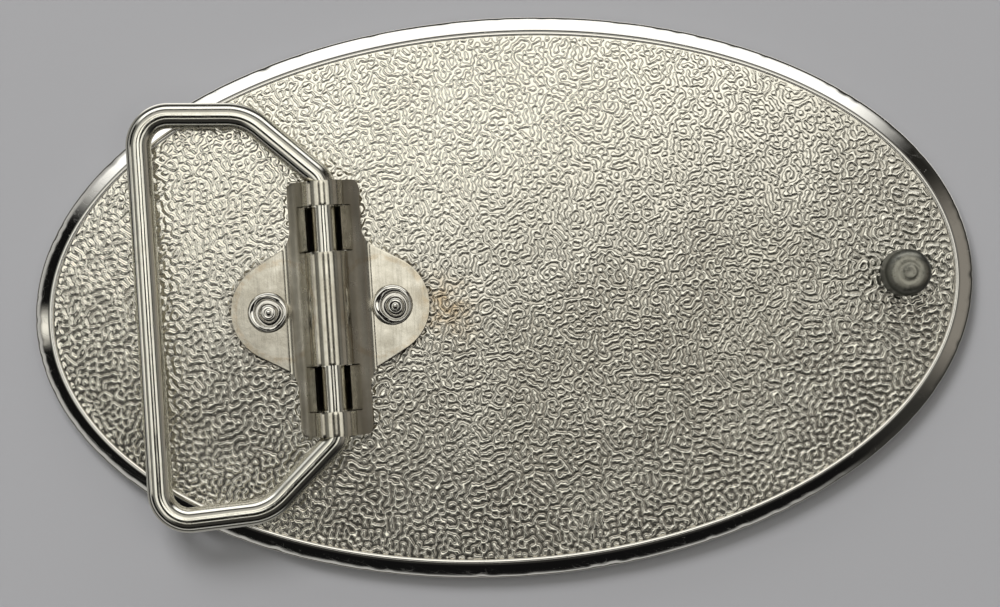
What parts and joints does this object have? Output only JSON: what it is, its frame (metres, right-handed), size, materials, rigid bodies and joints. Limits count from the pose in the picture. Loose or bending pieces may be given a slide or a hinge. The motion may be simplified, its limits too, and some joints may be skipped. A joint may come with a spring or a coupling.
{
  "type": "belt buckle",
  "caption": "Oval plate buckle with a stippled back, a wire belt loop swinging on a riveted hinge bracket, and a stud for the belt's hole.",
  "frame": {"origin": "centre of the oval plate, on the plane of its front face, which it lies on", "axes": "+Z out of the plate's back, +X along the plate's length towards the stud, +Y along the hinge axis"},
  "size_m": [0.096, 0.0572, 0.0072],
  "materials": {
    "plate_nickel": "nickel plate over a cast plate, stippled back with a polished rim",
    "hinge_nickel": "satin nickel plate over stamped steel sheet, slightly stained",
    "rivet_nickel": "bright nickel, burnished by the setting tool",
    "wire_nickel": "bright nickel plate over steel wire",
    "stud_dark": "dark, dull steel, worn lighter on top"
  },
  "bodies": {
    "buckle": {"plate": "plate_nickel", "hinge_bracket": "hinge_nickel", "rivet_left": "rivet_nickel", "rivet_right": "rivet_nickel", "stud": "stud_dark"},
    "loop": {"wire_loop": "wire_nickel"}
  },
  "joints": [
    {"name": "loop_swing", "type": "hinge", "parent": "buckle", "child": "loop", "pos_m": [-0.01775, 0, 0.00465], "axis": [0, 1, 0], "range_deg": [0, 180]}
  ]
}
